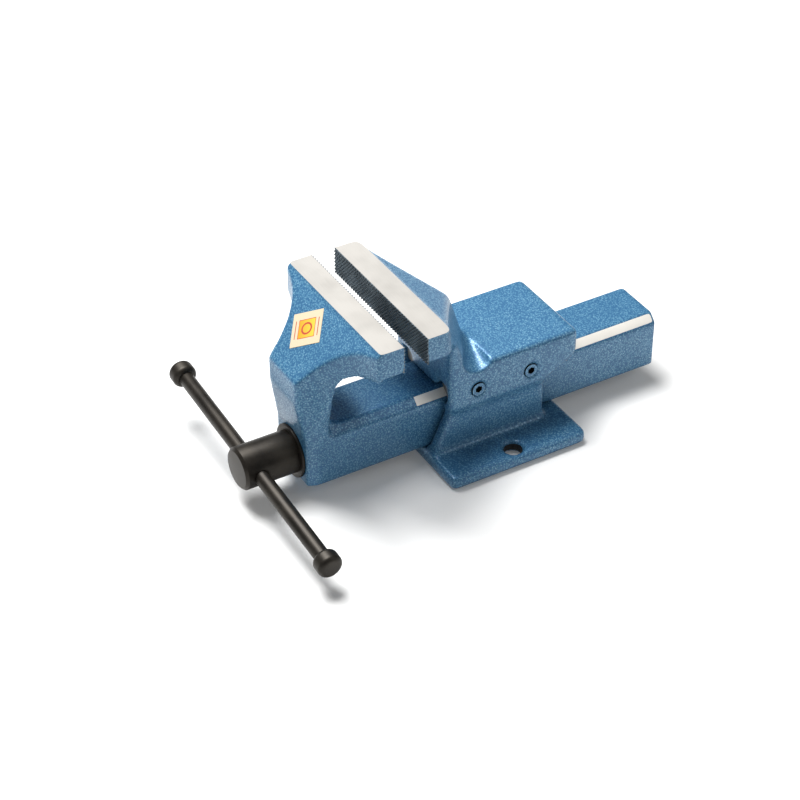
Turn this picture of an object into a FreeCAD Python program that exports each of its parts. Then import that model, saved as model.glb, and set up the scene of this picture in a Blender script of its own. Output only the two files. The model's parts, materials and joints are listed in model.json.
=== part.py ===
# Bench vise with a fixed base, a one-piece forged moving jaw and slide, and a tommy-bar spindle.
# Frame: X across the jaws, Y along the slide (the handle is at -Y), Z up. The origin is the
# middle of the two bench bolts, on the underside of the base plate. Millimetres.
import FreeCAD, Part
import math
import os
import Sketcher

doc = FreeCAD.newDocument("BenchVise")
sheet = doc.addObject("Spreadsheet::Sheet", "Sizes")

# A number is set by itself; a text is worked out from other sizes and a named clearance.
SIZES = [
    # jaws
    ("jawWidth", 125.0, "width of both jaws"),
    ("landDepth", 17.7, "machined land on top of each jaw, along Y"),
    ("jawGap", 16.5, "opening between the gripping faces as drawn"),
    ("throatDeep", 81.0, "height of both lands above the slide"),
    ("jawTop", "slideTop + throatDeep", "height of both lands above the bench"),
    ("gripHeight", 19.0, "height of the gripping faces"),
    ("gripRelief", 1.2, "step back below a gripping face"),
    ("ceilingDrop", 2.0, "throat ceiling below the gripping face"),
    ("throatRadius", 22.0, "round under the fixed jaw's ceiling"),
    ("noseThroat", 26.0, "round under the moving jaw's ceiling"),
    ("rearFace", -76.0, "place of the fixed gripping face"),
    # moving jaw, distances forward of its land's outer edge
    ("wingStep", 2.5, "front of the jaw block at its ends"),
    ("wingHollow", 11.8, "corner of the hollow flank, forward"),
    ("hollowHalf", 29.8, "corner of the hollow flank, half width"),
    ("hollowRadius", 44.8, "round of the hollow flank"),
    ("noseHalf", 17.0, "half width of the neck's front"),
    ("noseReach", 41.0, "front of the neck at its chest"),
    ("noseFoot", 35.0, "front of the neck at its foot"),
    ("noseRadius", 8.0, "round of the neck's front corners"),
    ("slopeFall", 36.8, "fall of the moving jaw's front slope"),
    ("chestHigh", "jawTop - slopeFall", "height where the front slope meets the chest"),
    ("chestLong", 17.0, "height of the chest"),
    ("chestLow", "chestHigh - chestLong", "height where the chest starts to lean back"),
    ("footDrop", 7.8, "end of the lean below the slide's top"),
    ("footHigh", "slideTop - footDrop", "height where the lean ends"),
    ("throatWall", 17.5, "throat wall of the neck, forward of the land's edge"),
    ("throatFoot", 11.0, "round between the throat wall and the slide's top"),
    ("flareLow", 5.0, "start of the neck's flare above the slide"),
    ("flareHigh", 40.0, "end of the neck's flare above the slide"),
    ("flareOut", 8.0, "widening of each side over the flare"),
    ("flareCeiling", 50.0, "height above the slide where the flare opens to the wings"),
    # slide
    ("slideWidth", 48.0, "width of the slide"),
    ("slideHigh", 44.0, "height of the slide"),
    ("slideTop", "baseThick + slideGap + slideHigh", "top of the slide above the bench"),
    ("slideChamfer", 6.6, "45 degree guide faces on the slide's top edges"),
    ("slideRear", 140.4, "rear end of the slide"),
    ("channelRoom", 4.0, "side of the slot from the thread"),
    ("channelWidth", "threadSize + 2 * channelRoom", "width of the slot under the slide"),
    ("channelRoof", 1.0, "room above the retaining collar"),
    ("channelTop", "spindleHigh + collarSize / 2 + channelRoof", "height of the slot's ceiling"),
    ("neckSolid", 5.7, "metal between the throat wall's plane and the slot"),
    ("channelFront", "rearFace - jawGap - landDepth - throatWall + neckSolid", "front end of the slot"),
    ("slideGap", 0.3, "running clearance around the slide"),
    # fixed body
    ("bodyWall", 7.0, "wall outside the guide strips"),
    ("bodyWidth", "2 * ( gibOuter + bodyWall )", "width of the body and the anvil"),
    ("bodyBack", 34.0, "front face of the body behind the gripping face"),
    ("bodyFront", "rearFace + bodyBack", "front face of the body"),
    ("waistDrop", 4.7, "waist below the guide strips"),
    ("waistHigh", "slideTop - slideChamfer - waistDrop", "height where the neck starts"),
    ("neckWall", 11.0, "side of the neck from the slide"),
    ("neckWidth", "slideWidth + 2 * neckWall", "width of the body's neck"),
    ("neckStep", 3.5, "step back of the neck at the waist"),
    ("neckFront", "bodyFront + neckStep", "front of the neck at the waist"),
    ("toeInset", 2.0, "neck's toe from the plate's front edge"),
    ("neckToe", "toeInset - baseLong / 2", "front of the neck at the plate"),
    ("neckRear", 38.0, "rear of the neck"),
    ("anvilRoof", 16.3, "metal above the guide strips' pockets"),
    ("anvilTop", "gibTop + gibGap + anvilRoof", "height of the anvil"),
    ("anvilBack", 35.2, "front edge of the anvil behind the body's front"),
    ("anvilFront", "bodyFront + anvilBack", "front edge of the anvil"),
    ("anvilLong", 70.0, "length of the anvil"),
    ("anvilRear", "anvilFront + anvilLong", "rear face of the body"),
    ("lipDrop", 5.0, "rear lower edge below the strips' tops"),
    ("anvilLip", "gibTop - lipDrop", "height of the anvil's rear lower edge"),
    ("valleyDeep", 6.5, "depth of the valley in front of the anvil"),
    ("valleyHigh", "anvilTop - valleyDeep", "floor of that valley"),
    ("slopeLong", 36.8, "length of the slope behind the land, on the middle line"),
    ("slopeEnd", "rearFace + landDepth + slopeLong", "rear end of that slope"),
    ("slopeDrop", 20.4, "fall of that slope"),
    ("crestSide", 29.0, "buttress at the body's side, behind the gripping face at land height"),
    ("backCrestSide", "rearFace + crestSide", "its place"),
    ("crestMid", 48.0, "buttress on the middle line, behind the gripping face at land height"),
    ("backCrestMid", "rearFace + crestMid", "its place"),
    ("footSide", 20.2, "buttress in front of the anvil at the body's side"),
    ("backFootSide", "anvilFront - footSide", "its place at the valley floor"),
    ("footMid", 0.7, "buttress in front of the anvil on the middle line"),
    ("backFootMid", "anvilFront - footMid", "its place at the valley floor"),
    ("wingThick", 19.0, "thickness of the fixed jaw at its ends"),
    ("wingRear", "rearFace + wingThick", "rear of the jaw block at its ends"),
    ("wingDeep", 37.8, "root of the wings below the lands"),
    ("wingRoot", "jawTop - wingDeep", "height where the wings grow out of the body"),
    ("wingFlare", 6.0, "widening just above the wings' root"),
    ("wingFlareHigh", 10.0, "height of that widening"),
    # base plate
    ("baseWidth", 130.0, "width of the base plate"),
    ("baseLong", 111.0, "length of the base plate"),
    ("baseThick", 10.5, "thickness of the base plate"),
    ("baseCorner", 4.0, "corner round of the base plate"),
    ("boltInset", 11.3, "bolt hole's middle from the plate's side"),
    ("boltSpacing", "baseWidth - 2 * boltInset", "distance between the two bench bolts"),
    ("boltHole", 13.5, "diameter of the bench bolt holes"),
    # guide strips and their screws
    ("gibThick", 6.0, "guide strip beyond the slide's side"),
    ("gibOuter", "slideWidth / 2 + gibThick", "outer face of a guide strip from the middle"),
    ("gibRise", 7.2, "guide strips above the slide"),
    ("gibTop", "slideTop + gibRise", "top of a guide strip"),
    ("gibInset", 6.0, "guide strips behind the body's front"),
    ("gibFront", "bodyFront + gibInset", "front end of a guide strip"),
    ("gibShort", 4.2, "guide strips before the body's rear"),
    ("gibRear", "anvilRear - gibShort", "rear end of a guide strip"),
    ("gibGap", 0.2, "clearance around a guide strip"),
    ("gibScrewSize", 10.0, "thread diameter of the adjusting screws"),
    ("gibScrewDrop", 5.5, "adjusting screws below the strips' tops"),
    ("gibScrewHigh", "gibTop - gibScrewDrop", "height of the adjusting screws"),
    ("gibScrewStart", 17.6, "front screws from the strips' front ends"),
    ("gibScrewFront", "gibFront + gibScrewStart", "place of the front adjusting screws"),
    ("gibScrewPitch", 43.0, "distance between the adjusting screws"),
    ("gibScrewRear", "gibScrewFront + gibScrewPitch", "place of the rear adjusting screws"),
    ("gibScrewSunk", 0.6, "depth of the screw ends below the wall"),
    ("gibSocket", 5.0, "hexagon socket across flats"),
    ("gibSocketDeep", 3.5, "depth of the hexagon socket"),
    # spindle
    ("spindleRise", 18.7, "spindle axis above the slide's underside"),
    ("spindleHigh", "baseThick + slideGap + spindleRise", "height of the spindle axis"),
    ("journalStep", 1.0, "step from the thread to the journal"),
    ("journalSize", "threadSize + 2 * journalStep", "diameter of the spindle in the neck"),
    ("threadSize", 22.0, "outside diameter of the trapezoidal thread"),
    ("threadShort", 2.4, "spindle's end inside the slide's rear end"),
    ("threadEnd", "slideRear - threadShort", "rear end of the spindle"),
    ("threadChamfer", 2.0, "chamfer of the spindle's end"),
    ("fitGap", 0.05, "radial clearance of shafts and fasteners"),
    ("headSize", 31.0, "diameter of the spindle head"),
    ("headLong", 40.3, "length of the spindle head"),
    ("headFront", "rearFace - jawGap - landDepth - noseFoot - washerThick - 2 * fitGap - headLong", "front face of the spindle head"),
    ("headChamfer", 2.0, "chamfer around the head's front"),
    ("washerRim", 4.0, "thrust washer beyond the head"),
    ("washerSize", "headSize + 2 * washerRim", "diameter of the thrust washer"),
    ("washerThick", 2.0, "thickness of the thrust washer"),
    ("washerRoom", 1.5, "radial room around the thrust washer"),
    ("spotSize", "washerSize + 2 * washerRoom", "diameter of the seat for the thrust washer"),
    ("collarRoom", 0.5, "radial room between the collar and the slot's sides"),
    ("collarSize", "channelWidth - 2 * collarRoom", "diameter of the retaining collar"),
    ("collarLong", 12.0, "length of the retaining collar"),
    ("collarGap", 0.3, "end play of the spindle"),
    ("pinSize", 5.0, "diameter of the collar's pin"),
    ("pinShort", 0.5, "pin's ends inside the collar"),
    ("nutFront", -30.0, "front end of the nut"),
    ("nutRear", 12.0, "rear end of the nut"),
    ("nutRoom", 2.0, "room between the nut and the slot's sides"),
    ("nutWidth", "channelWidth - 2 * nutRoom", "width of the nut"),
    ("nutRoof", 2.0, "room above the nut"),
    ("nutTop", "channelTop - nutRoof", "top of the nut"),
    ("nutScrewSize", 8.0, "diameter of the nut's screws"),
    ("nutScrewHead", 13.0, "head diameter of the nut's screws"),
    ("nutHeadHigh", 5.0, "head height of the nut's screws"),
    ("nutHeadSunk", 0.5, "depth of the heads below the underside"),
    ("nutHeadGap", 0.5, "radial room around the heads"),
    ("nutSocket", 5.0, "hexagon socket of the nut's screws across flats"),
    ("nutSocketFloor", 2.0, "metal left under that socket"),
    ("screwRoom", 2.0, "nut screws' tips below the thread"),
    ("nutScrewTip", "spindleHigh - threadSize / 2 - screwRoom", "height of the tips of the nut's screws"),
    ("nutScrewInset", 10.0, "nut screws from the ends of the nut"),
    ("dowelSize", 6.0, "diameter of the nut's dowels"),
    ("dowelRoom", 3.0, "dowels' ends below the thread"),
    ("dowelTip", "spindleHigh - threadSize / 2 - dowelRoom", "height of the upper ends of the dowels"),
    ("dowelSunk", 0.5, "depth of the dowels below the underside"),
    ("dowelInset", 4.5, "dowel's middle from the nut's side"),
    ("dowelSpacing", "nutWidth - 2 * dowelInset", "distance between the dowels, across"),
    # tommy bar
    ("barSize", 11.0, "diameter of the tommy bar"),
    ("barPlay", 0.35, "radial play of the bar in the head"),
    ("barHole", "barSize + 2 * barPlay", "diameter of the hole through the head"),
    ("barInset", 11.5, "bar's middle behind the head's front"),
    ("barPlace", "headFront + barInset", "place of the tommy bar"),
    ("barHalf", 109.0, "half length of the bar without its knobs' caps"),
    ("barTilt", 4.55, "turn of the spindle as drawn, right side down"),
    ("knobWall", 3.5, "knob's wall around the bar"),
    ("knobSize", "barSize + 2 * knobWall", "diameter of a knob"),
    ("knobLong", 12.0, "length of a knob"),
    ("knobCap", 3.0, "solid end of a knob"),
    ("knobRound", 3.5, "round of a knob's rim"),
    # cuts
    ("overrun", 5.0, "how far a cut runs past the metal"),
    # label
    ("labelSide", 25.0, "side of the square label"),
    ("labelThick", 0.3, "thickness of the label"),
    ("labelDown", 23.0, "label centre below the land's edge, along the slope"),
    ("labelAcross", -7.0, "label centre from the middle"),
    ("labelTurn", -46.0, "turn of the label on the slope"),
]

for row, (alias, value, meaning) in enumerate(SIZES, start=1):
    sheet.setAlias(f"B{row}", alias)
    sheet.set(f"A{row}", alias)
    sheet.set(f"C{row}", meaning)
for row, (alias, value, meaning) in enumerate(SIZES, start=1):
    sheet.set(f"B{row}", "=" + value if isinstance(value, str) else str(value))
doc.recompute()
size = {alias: float(sheet.get(alias)) for alias, value, meaning in SIZES}

SOURCE = "Sizes."
FAR = 400.0  # longer than anything that a cut has to clear


def bound(text):
    """Put the sheet's name before each alias in an expression."""
    words = text.replace("(", " ( ").replace(")", " ) ").split()
    return " ".join(SOURCE + word if word in size else word for word in words)


def originPlane(body, role):
    return [item for item in body.Origin.OriginFeatures if item.Role == role][0]


def newBody(name):
    body = doc.addObject("PartDesign::Body", name)
    body.Label = name
    return body


def newSketch(body, name, role, lift=None):
    """Empty sketch on one of the body's planes, lifted along the plane's normal."""
    sketch = body.newObject("Sketcher::SketchObject", name)
    sketch.AttachmentSupport = (originPlane(body, role), [""])
    sketch.MapMode = "FlatFace"
    if lift is not None:
        sketch.setExpression("AttachmentOffset.Base.z", bound(lift))
    return sketch


def addOutline(sketch, corners):
    """Closed outline with straight sides. Each corner is a pair of expressions."""
    count = len(corners)
    first = sketch.GeometryCount
    rough = []
    for index in range(count):
        angle = 2 * math.pi * index / count
        rough.append(FreeCAD.Vector(FAR * math.cos(angle), FAR * math.sin(angle), 0))
    for index in range(count):
        sketch.addGeometry(Part.LineSegment(rough[index], rough[(index + 1) % count]), False)
    for index in range(count):
        following = first + (index + 1) % count
        sketch.addConstraint(Sketcher.Constraint("Coincident", first + index, 2, following, 1))
    for index, (across, up) in enumerate(corners):
        for kind, text, start in (("DistanceX", across, rough[index].x), ("DistanceY", up, rough[index].y)):
            place = sketch.addConstraint(Sketcher.Constraint(kind, -1, 1, first + index, 1, start))
            sketch.setExpression(f"Constraints[{place}]", bound(text))


def addCircle(sketch, across, up, diameter):
    """Circle whose centre and diameter are expressions."""
    place = sketch.addGeometry(Part.Circle(FreeCAD.Vector(1, 1, 0), FreeCAD.Vector(0, 0, 1), 1), False)
    for kind, text in (("DistanceX", across), ("DistanceY", up)):
        number = sketch.addConstraint(Sketcher.Constraint(kind, -1, 1, place, 3, 1.0))
        sketch.setExpression(f"Constraints[{number}]", bound(text))
    number = sketch.addConstraint(Sketcher.Constraint("Diameter", place, 2.0))
    sketch.setExpression(f"Constraints[{number}]", bound(diameter))


def mirrored(corners):
    """Right half of an outline, from its start round to its end, closed by its mirror image."""
    left = [("-( " + across + " )", up) for across, up in reversed(corners) if across != "0"]
    return corners + left


def pad(body, sketch, name, length=None, other=None, symmetric=False, reverse=False):
    feature = body.newObject("PartDesign::Pad", name)
    feature.Profile = sketch
    if symmetric:
        feature.SideType = "Symmetric"
    elif other is not None:
        feature.SideType = "Two sides"
    feature.Reversed = reverse
    feature.setExpression("Length", bound(length))
    if other is not None:
        feature.setExpression("Length2", bound(other))
    doc.recompute()
    return feature


def cut(body, sketch, name, symmetric=False, reverse=False, length=None, other=None, least=1.0):
    """Pocket that must take material away."""
    before = body.Shape.Volume
    feature = body.newObject("PartDesign::Pocket", name)
    feature.Profile = sketch
    if symmetric:
        feature.SideType = "Symmetric"
    elif other is not None:
        feature.SideType = "Two sides"
        feature.setExpression("Length2", bound(other))
    feature.Reversed = reverse
    if length is None:
        feature.Length = 2 * FAR
    else:
        feature.setExpression("Length", bound(length))
    doc.recompute()
    if body.Shape.Volume > before - least:
        raise ValueError(f"{body.Label}: {name} cuts nothing")
    return feature


def keepInside(body, name, role, corners):
    """Cut away everything outside an outline, right through the body."""
    sketch = newSketch(body, name + "Sketch", role)
    addOutline(sketch, [(f"{x}", f"{y}") for x, y in ((-FAR, -FAR), (FAR, -FAR), (FAR, FAR), (-FAR, FAR))])
    addOutline(sketch, corners)
    return cut(body, sketch, name, symmetric=True)


def roundEdges(body, name, radius, chosen):
    """Fillet the edges of the body's present shape that the test picks."""
    names = []
    for number, edge in enumerate(body.Shape.Edges, start=1):
        box = edge.BoundBox
        if chosen(edge, box):
            names.append(f"Edge{number}")
    if not names:
        raise ValueError(f"{body.Label}: {name} finds no edge")
    support = body.Tip
    feature = body.newObject("PartDesign::Fillet", name)
    feature.Base = (support, names)
    feature.setExpression("Radius", bound(radius))
    doc.recompute()
    return feature


def near(value, target, tolerance=0.02):
    return abs(value - target) < tolerance


def upright(box):
    return box.XLength < 0.01 and box.YLength < 0.01 and box.ZLength > 1


def acrossX(box):
    return box.YLength < 0.01 and box.ZLength < 0.01 and box.XLength > 1


# ---------------------------------------------------------------- moving jaw and slide
LAND_EDGE = "( rearFace - jawGap - landDepth )"  # outer edge of the moving jaw's land
SLIDE_BOTTOM = "( slideTop - slideHigh )"
CEILING = "( jawTop - gripHeight - ceilingDrop )"
landEdge = size["rearFace"] - size["jawGap"] - size["landDepth"]
ceiling = size["jawTop"] - size["gripHeight"] - size["ceilingDrop"]


def lineAcross(box, y, z):
    """True for an edge along X at this place."""
    return acrossX(box) and near(box.YMin, y) and near(box.ZMin, z)


def slideOutline(grow):
    """Section of the slide, grown by a clearance on every side."""
    return mirrored([
        ("slideWidth / 2 + " + grow, SLIDE_BOTTOM + " - " + grow),
        ("slideWidth / 2 + " + grow, "slideTop - slideChamfer"),
        ("slideWidth / 2 - slideChamfer + " + grow, "slideTop + " + grow),
    ])


def makeMovingJaw():
    body = newBody("moving_jaw")
    plan = newSketch(body, "jawPlan", "XY_Plane")
    addOutline(plan, mirrored([
        ("jawWidth / 2", "rearFace - jawGap"),
        ("jawWidth / 2", LAND_EDGE + " - wingStep"),
        ("hollowHalf", LAND_EDGE + " - wingHollow"),
        ("noseHalf", LAND_EDGE + " - noseReach - overrun"),
    ]))
    pad(body, plan, "jawBlock", "jawTop")
    hollowY = landEdge - size["wingHollow"]
    noseY = landEdge - size["noseReach"] - size["overrun"]
    roundEdges(body, "hollowFlanks", "hollowRadius",
               lambda edge, box: upright(box) and near(box.YMin, hollowY))
    roundEdges(body, "noseCorners", "noseRadius",
               lambda edge, box: upright(box) and near(box.YMin, noseY))
    keepInside(body, "jawSide", "YZ_Plane", [
        ("rearFace - jawGap", "jawTop"),
        (LAND_EDGE, "jawTop"),
        (LAND_EDGE + " - noseReach", "chestHigh"),
        (LAND_EDGE + " - noseReach", "chestLow"),
        (LAND_EDGE + " - noseFoot", "footHigh"),
        (LAND_EDGE + " - noseFoot", SLIDE_BOTTOM),
        (LAND_EDGE + " - throatWall", SLIDE_BOTTOM),
        (LAND_EDGE + " - throatWall", CEILING),
        ("rearFace - jawGap - gripRelief", CEILING),
        ("rearFace - jawGap - gripRelief", "jawTop - gripHeight"),
        ("rearFace - jawGap", "jawTop - gripHeight"),
    ])
    wallY = landEdge - size["throatWall"]
    roundEdges(body, "throatRound", "noseThroat", lambda edge, box: lineAcross(box, wallY, ceiling))
    keepInside(body, "jawFront", "XZ_Plane", mirrored([
        ("slideWidth / 2", SLIDE_BOTTOM),
        ("slideWidth / 2", "slideTop + flareLow"),
        ("slideWidth / 2 + flareOut", "slideTop + flareHigh"),
        ("jawWidth", "slideTop + flareCeiling"),
        ("jawWidth", "jawTop + overrun"),
    ]))
    bar = newSketch(body, "slideSection", "XZ_Plane")
    addOutline(bar, slideOutline("0"))
    pad(body, bar, "slideBar", "0 - " + LAND_EDGE + " + throatWall", "slideRear")
    roundEdges(body, "throatFootRound", "throatFoot",
               lambda edge, box: lineAcross(box, wallY, size["slideTop"]))
    slot = newSketch(body, "slotSection", "XZ_Plane")
    addOutline(slot, mirrored([
        ("channelWidth / 2", SLIDE_BOTTOM + " - overrun"),
        ("channelWidth / 2", "channelTop"),
    ]))
    cut(body, slot, "slot", length="0 - channelFront", other="slideRear + overrun", reverse=True)
    bore = newSketch(body, "boreCircle", "XZ_Plane")
    addCircle(bore, "0", "spindleHigh", "journalSize + 2 * fitGap")
    cut(body, bore, "spindleBore", reverse=True)
    seat = newSketch(body, "seatCircle", "XZ_Plane", lift="0 - " + LAND_EDGE + " + noseFoot")
    addCircle(seat, "0", "spindleHigh", "spotSize")
    cut(body, seat, "washerSeat", reverse=True, least=0.0)
    return body


# ---------------------------------------------------------------- fixed body
def backOutline(side, mid):
    """Plan outline of the fixed jaw with the buttress behind it."""
    return mirrored([
        ("jawWidth / 2", "rearFace"),
        ("jawWidth / 2", "wingRear"),
        ("bodyWidth / 2", side),
        ("0", mid),
    ])


def makeFixedBody():
    body = newBody("fixed_body")
    upper = newSketch(body, "buttressTop", "XY_Plane", lift="jawTop")
    addOutline(upper, backOutline("backCrestSide", "backCrestMid"))
    lower = newSketch(body, "buttressFoot", "XY_Plane", lift="valleyHigh")
    addOutline(lower, backOutline("backFootSide", "backFootMid"))
    loft = body.newObject("PartDesign::AdditiveLoft", "buttress")
    loft.Profile = lower
    loft.Sections = [upper]
    loft.Ruled = True
    doc.recompute()
    keepInside(body, "buttressSide", "YZ_Plane", [
        ("rearFace", "jawTop"),
        ("rearFace", "jawTop - gripHeight"),
        ("rearFace + gripRelief", "jawTop - gripHeight"),
        ("rearFace + gripRelief", CEILING),
        ("bodyFront", CEILING),
        ("bodyFront", "valleyHigh"),
        ("anvilRear", "valleyHigh"),
        ("anvilRear", "jawTop - slopeDrop"),
        ("slopeEnd", "jawTop - slopeDrop"),
        ("rearFace + landDepth", "jawTop"),
    ])
    roundEdges(body, "throatRound", "throatRadius",
               lambda edge, box: lineAcross(box, size["bodyFront"], ceiling))
    keepInside(body, "buttressFront", "XZ_Plane", mirrored([
        ("bodyWidth / 2", "valleyHigh - overrun"),
        ("bodyWidth / 2", "wingRoot"),
        ("bodyWidth / 2 + wingFlare", "wingRoot + wingFlareHigh"),
        ("jawWidth / 2", CEILING),
        ("jawWidth", CEILING),
        ("jawWidth", "jawTop + overrun"),
    ]))
    wall = newSketch(body, "wallSection", "YZ_Plane")
    addOutline(wall, [
        ("bodyFront", "waistHigh"),
        ("bodyFront", "valleyHigh"),
        ("anvilFront", "valleyHigh"),
        ("anvilFront", "anvilTop"),
        ("anvilRear", "anvilTop"),
        ("anvilRear", "anvilLip"),
        ("neckRear", "waistHigh"),
    ])
    pad(body, wall, "wallBlock", "bodyWidth", symmetric=True)
    neck = newSketch(body, "neckSection", "YZ_Plane")
    addOutline(neck, [
        ("neckFront", "waistHigh"),
        ("neckToe", "baseThick"),
        ("neckRear", "baseThick"),
        ("neckRear", "waistHigh"),
    ])
    pad(body, neck, "neckBlock", "neckWidth", symmetric=True)
    base = newSketch(body, "basePlan", "XY_Plane")
    addOutline(base, mirrored([
        ("baseWidth / 2", "0 - baseLong / 2"),
        ("baseWidth / 2", "baseLong / 2"),
    ]))
    pad(body, base, "basePlate", "baseThick")
    half = size["baseLong"] / 2
    wide = size["baseWidth"] / 2
    roundEdges(body, "baseCorners", "baseCorner",
               lambda edge, box: upright(box) and near(abs(box.XMin), wide) and near(abs(box.YMin), half))
    tunnel = newSketch(body, "tunnelSection", "XZ_Plane")
    addOutline(tunnel, mirrored([
        ("slideWidth / 2 + slideGap", "baseThick"),
        ("slideWidth / 2 + slideGap", "slideTop - slideChamfer"),
        ("gibOuter + gibGap", "slideTop - slideChamfer"),
        ("gibOuter + gibGap", "gibTop + gibGap"),
        ("slideWidth / 2 - slideChamfer - gibGap", "gibTop + gibGap"),
        ("slideWidth / 2 - slideChamfer - gibGap", "slideTop + slideGap"),
    ]))
    cut(body, tunnel, "tunnel", symmetric=True)
    for name, along in (("Front", "gibScrewFront"), ("Rear", "gibScrewRear")):
        hole = newSketch(body, "gibHole" + name, "YZ_Plane")
        addCircle(hole, along, "gibScrewHigh", "gibScrewSize + 2 * fitGap")
        cut(body, hole, "gibThread" + name, symmetric=True)
    bolts = newSketch(body, "boltCircles", "XY_Plane")
    addCircle(bolts, "boltSpacing / 2", "0", "boltHole")
    addCircle(bolts, "0 - boltSpacing / 2", "0", "boltHole")
    cut(body, bolts, "boltHoles", symmetric=True)
    screws = newSketch(body, "nutScrewCircles", "XY_Plane")
    for along in NUT_SCREWS:
        addCircle(screws, "0", along, "nutScrewSize + 2 * fitGap")
    cut(body, screws, "nutScrewHoles", symmetric=True, length="2 * ( baseThick + slideGap )")
    dowels = newSketch(body, "dowelCircles", "XY_Plane")
    for side in (1, -1):
        addCircle(dowels, f"{side} * dowelSpacing / 2", NUT_MID, "dowelSize + 2 * fitGap")
    cut(body, dowels, "dowelHoles", symmetric=True, length="2 * ( baseThick + slideGap )")
    heads = newSketch(body, "nutHeadCircles", "XY_Plane")
    for along in NUT_SCREWS:
        addCircle(heads, "0", along, "nutScrewHead + 2 * nutHeadGap")
    cut(body, heads, "nutHeadRecesses", symmetric=True, length="2 * nutHeadHigh + 2 * nutHeadSunk")
    return body


# ---------------------------------------------------------------- guide strips and screws
def makeGib(side, name):
    """Guide strip whose 45 degree face bears on the slide. The side is +1 right or -1 left."""
    body = newBody(name)
    section = newSketch(body, name + "Section", "XZ_Plane")
    corners = [
        ("slideWidth / 2", "slideTop - slideChamfer + gibGap"),
        ("gibOuter", "slideTop - slideChamfer + gibGap"),
        ("gibOuter", "gibTop"),
        ("slideWidth / 2 - slideChamfer", "gibTop"),
        ("slideWidth / 2 - slideChamfer", "slideTop + gibGap"),
    ]
    addOutline(section, [(f"{side} * ( {across} )", up) for across, up in corners])
    pad(body, section, name + "Pad", "0 - gibFront", "gibRear")
    return body


def hexPrism(name, acrossFlats, height):
    prism = doc.addObject("Part::Prism", name)
    prism.Polygon = 6
    prism.setExpression("Circumradius", bound("( " + acrossFlats + " ) / 1.7320508"))
    prism.setExpression("Height", bound(height))
    return prism


def cylinder(name, diameter, height):
    piece = doc.addObject("Part::Cylinder", name)
    piece.setExpression("Radius", bound("( " + diameter + " ) / 2"))
    piece.setExpression("Height", bound(height))
    return piece


def cutAway(base, tool, name):
    result = doc.addObject("Part::Cut", name)
    result.Base = base
    result.Tool = tool
    return result


def fused(pieces, name):
    result = doc.addObject("Part::MultiFuse", name)
    result.Shapes = pieces
    return result


def place(piece, turn, **shifts):
    """Turn a piece and bind its position to expressions, such as z="spindleHigh"."""
    piece.Placement = FreeCAD.Placement(FreeCAD.Vector(0, 0, 0), turn)
    for axis, text in shifts.items():
        piece.setExpression("Placement.Base." + axis, bound(text))
    return piece


NO_TURN = FreeCAD.Rotation()
ALONG_Y = FreeCAD.Rotation(FreeCAD.Vector(1, 0, 0), -90)
X_AXIS = FreeCAD.Vector(1, 0, 0)
Y_AXIS = FreeCAD.Vector(0, 1, 0)
TILT = FreeCAD.Rotation(Y_AXIS, size["barTilt"])


def makeGibScrew(side, name, along):
    """Set screw through the body's wall, its socket outwards."""
    turn = FreeCAD.Rotation(Y_AXIS, 90 * side)
    tip = f"{side} * ( gibOuter + fitGap )"
    mouth = f"{side} * ( bodyWidth / 2 - gibScrewSunk - gibSocketDeep )"
    shank = cylinder(name + "Shank", "gibScrewSize", "bodyWidth / 2 - gibScrewSunk - gibOuter - fitGap")
    place(shank, turn, x=tip, y=along, z="gibScrewHigh")
    socket = hexPrism(name + "Socket", "gibSocket", "gibSocketDeep + overrun")
    place(socket, turn, x=mouth, y=along, z="gibScrewHigh")
    return cutAway(shank, socket, name)


# ---------------------------------------------------------------- spindle group
HEAD_REAR = "( " + LAND_EDGE + " - noseFoot - washerThick - 2 * fitGap )"
COLLAR_FRONT = "( channelFront + collarGap )"
COLLAR_MID = "( channelFront + collarGap + collarLong / 2 )"


def makeSpindle():
    body = newBody("spindle")
    section = newSketch(body, "spindleSection", "XZ_Plane")
    addOutline(section, [
        ("0", "headFront"),
        ("headSize / 2 - headChamfer", "headFront"),
        ("headSize / 2", "headFront + headChamfer"),
        ("headSize / 2", HEAD_REAR),
        ("journalSize / 2", HEAD_REAR),
        ("journalSize / 2", "channelFront"),
        ("threadSize / 2", "channelFront"),
        ("threadSize / 2", "threadEnd - threadChamfer"),
        ("threadSize / 2 - threadChamfer", "threadEnd"),
        ("0", "threadEnd"),
    ])
    turned = body.newObject("PartDesign::Revolution", "turnedShape")
    turned.Profile = section
    turned.ReferenceAxis = (section, ["V_Axis"])
    turned.Angle = 360
    doc.recompute()
    hole = newSketch(body, "barHoleCircle", "YZ_Plane")
    addCircle(hole, "0", "barPlace", "barHole")
    cut(body, hole, "barHoleCut", symmetric=True)
    pinHole = newSketch(body, "pinHoleCircle", "XZ_Plane")
    addCircle(pinHole, "0", COLLAR_MID, "pinSize + 2 * fitGap")
    cut(body, pinHole, "pinHoleCut", symmetric=True)
    body.Placement = FreeCAD.Placement(FreeCAD.Vector(0, 0, 0), TILT.multiply(ALONG_Y))
    body.setExpression("Placement.Base.z", bound("spindleHigh"))
    return body


def ringOnSpindle(name, outer, inner, start, length):
    """Plain ring around the spindle axis."""
    rim = cylinder(name + "Rim", outer, length)
    place(rim, ALONG_Y, y=start, z="spindleHigh")
    core = cylinder(name + "Core", inner, length + " + 2 * overrun")
    place(core, ALONG_Y, y=start + " - overrun", z="spindleHigh")
    return cutAway(rim, core, name)


def makeThrustWasher():
    start = LAND_EDGE + " - noseFoot - washerThick - fitGap"
    return ringOnSpindle("thrust_washer", "washerSize", "journalSize + 2 * fitGap", start, "washerThick")


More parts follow.
